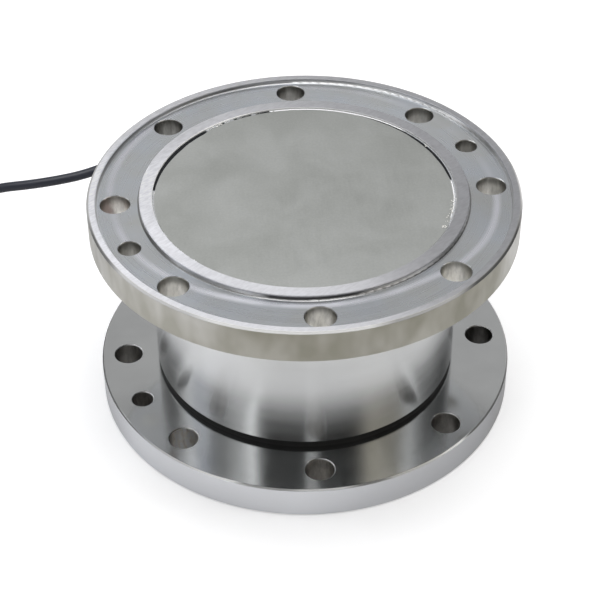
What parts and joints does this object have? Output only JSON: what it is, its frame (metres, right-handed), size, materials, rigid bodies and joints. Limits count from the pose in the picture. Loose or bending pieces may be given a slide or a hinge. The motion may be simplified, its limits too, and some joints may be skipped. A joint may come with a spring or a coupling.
{
  "type": "six-axis force sensor",
  "caption": "Round flange-mount multi-axis force and torque sensor with two bolting flanges, a sealed sleeve housing, a glued cover and a signal cable that ends in a round plug.",
  "frame": {"origin": "centre of the lower flange's bottom face", "axes": "+Z along the sensor's axis towards the upper flange, +X through a bolt hole, the cable gland at 112.5 degrees from +X towards +Y"},
  "size_m": [0.3937, 0.2295, 0.11],
  "materials": {
    "ground_steel": "ground lands and a fine turned channel",
    "turned_steel": "fine turned, bright",
    "polished_steel": "polished, near mirror",
    "milled_steel": "milled",
    "matte_cover": "matte, bead blasted",
    "sealant": "dark cured adhesive",
    "black_rubber": "matte",
    "black_screws": "black oxide",
    "gauge_foil": "amber foil carrier",
    "wire_jacket": "thin insulated wire",
    "circuit_board": "green solder mask",
    "chip_plastic": "moulded",
    "header_plastic": "moulded",
    "brass": "turned",
    "nickel": "nickel plated",
    "cable_jacket": "smooth satin jacket",
    "tie_fabric": "woven hook-and-loop strap",
    "insert_plastic": "moulded insulator",
    "gold_contact": "gold plated"
  },
  "bodies": {
    "sensor": {"upper_flange": "ground_steel", "top_cover": "matte_cover", "cover_bond": "sealant", "housing_sleeve": "turned_steel", "sleeve_oring": "black_rubber", "gap_seal": "black_rubber", "lower_flange": "polished_steel", "elastic_body": "milled_steel", "upper_screws": "black_screws", "lower_screws": "black_screws", "upper_dowels": "milled_steel", "lower_dowels": "milled_steel", "arm_gauges": "gauge_foil", "column_gauges": "gauge_foil", "gauge_terminals": "gauge_foil", "lead_wires": "wire_jacket", "signal_board": "circuit_board", "board_chips": "chip_plastic", "board_header": "header_plastic", "board_spacers": "brass", "board_screws": "nickel", "bottom_cover": "matte_cover", "bottom_cover_screws": "nickel", "bottom_oring": "black_rubber", "gland_gasket": "black_rubber", "gland_body": "nickel", "gland_seal": "black_rubber", "gland_cap_nut": "nickel", "cable_relief": "black_rubber", "cable_inner_end": "cable_jacket", "cable_cores": "wire_jacket", "sensor_cable": "cable_jacket", "cable_coil": "cable_jacket", "cable_ties": "tie_fabric", "cable_tail": "cable_jacket", "plug_relief": "black_rubber", "plug_clamp_nut": "nickel", "plug_back_shell": "nickel", "plug_front_shell": "nickel", "plug_insert": "insert_plastic", "plug_pins": "gold_contact"},
    "plug_ring": {"plug_coupling_ring": "nickel"}
  },
  "joints": [
    {"name": "coupling_ring_turn", "type": "hinge", "parent": "sensor", "child": "plug_ring", "pos_m": [-0.28445, -0.033, 0.00925], "axis": [0, -1, 0], "continuous": true}
  ]
}
